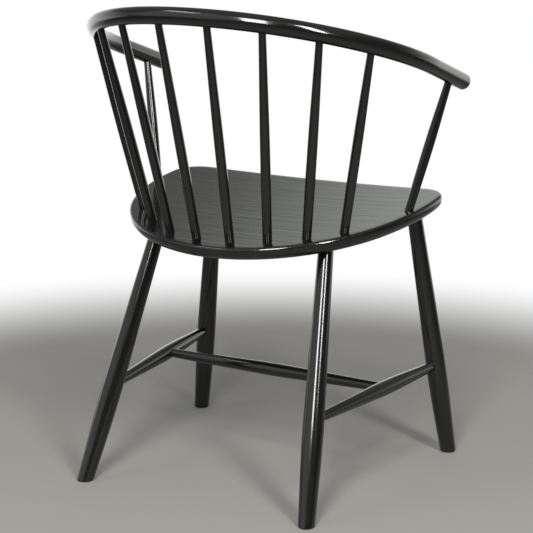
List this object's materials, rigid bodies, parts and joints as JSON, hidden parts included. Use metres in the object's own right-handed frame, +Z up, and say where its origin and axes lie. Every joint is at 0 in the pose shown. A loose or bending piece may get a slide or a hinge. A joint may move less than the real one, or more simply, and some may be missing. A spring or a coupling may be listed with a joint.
{
  "type": "windsor armchair",
  "caption": "Low-back windsor armchair: a board seat on four splayed turned legs with stretchers, and a bent rail carried by slender spindles that serves as back and arms.",
  "frame": {"origin": "on the floor under the middle of the chair's overall box", "axes": "+Z up, +X towards the sitter's left hand, -Y towards the front, +Y towards the back"},
  "size_m": [0.586, 0.4635, 0.7613],
  "materials": {
    "black_lacquer": "satin black lacquer over turned and bent hardwood"
  },
  "bodies": {
    "root": {"seat": "black_lacquer", "arm_rail": "black_lacquer", "spindle_left_1": "black_lacquer", "spindle_left_2": "black_lacquer", "spindle_left_3": "black_lacquer", "spindle_left_4": "black_lacquer", "arm_post_left": "black_lacquer", "spindle_right_1": "black_lacquer", "spindle_right_2": "black_lacquer", "spindle_right_3": "black_lacquer", "spindle_right_4": "black_lacquer", "arm_post_right": "black_lacquer", "leg_front_left": "black_lacquer", "leg_front_right": "black_lacquer", "leg_rear_left": "black_lacquer", "leg_rear_right": "black_lacquer", "stretcher_left": "black_lacquer", "stretcher_right": "black_lacquer", "stretcher_cross": "black_lacquer"}
  },
  "joints": []
}
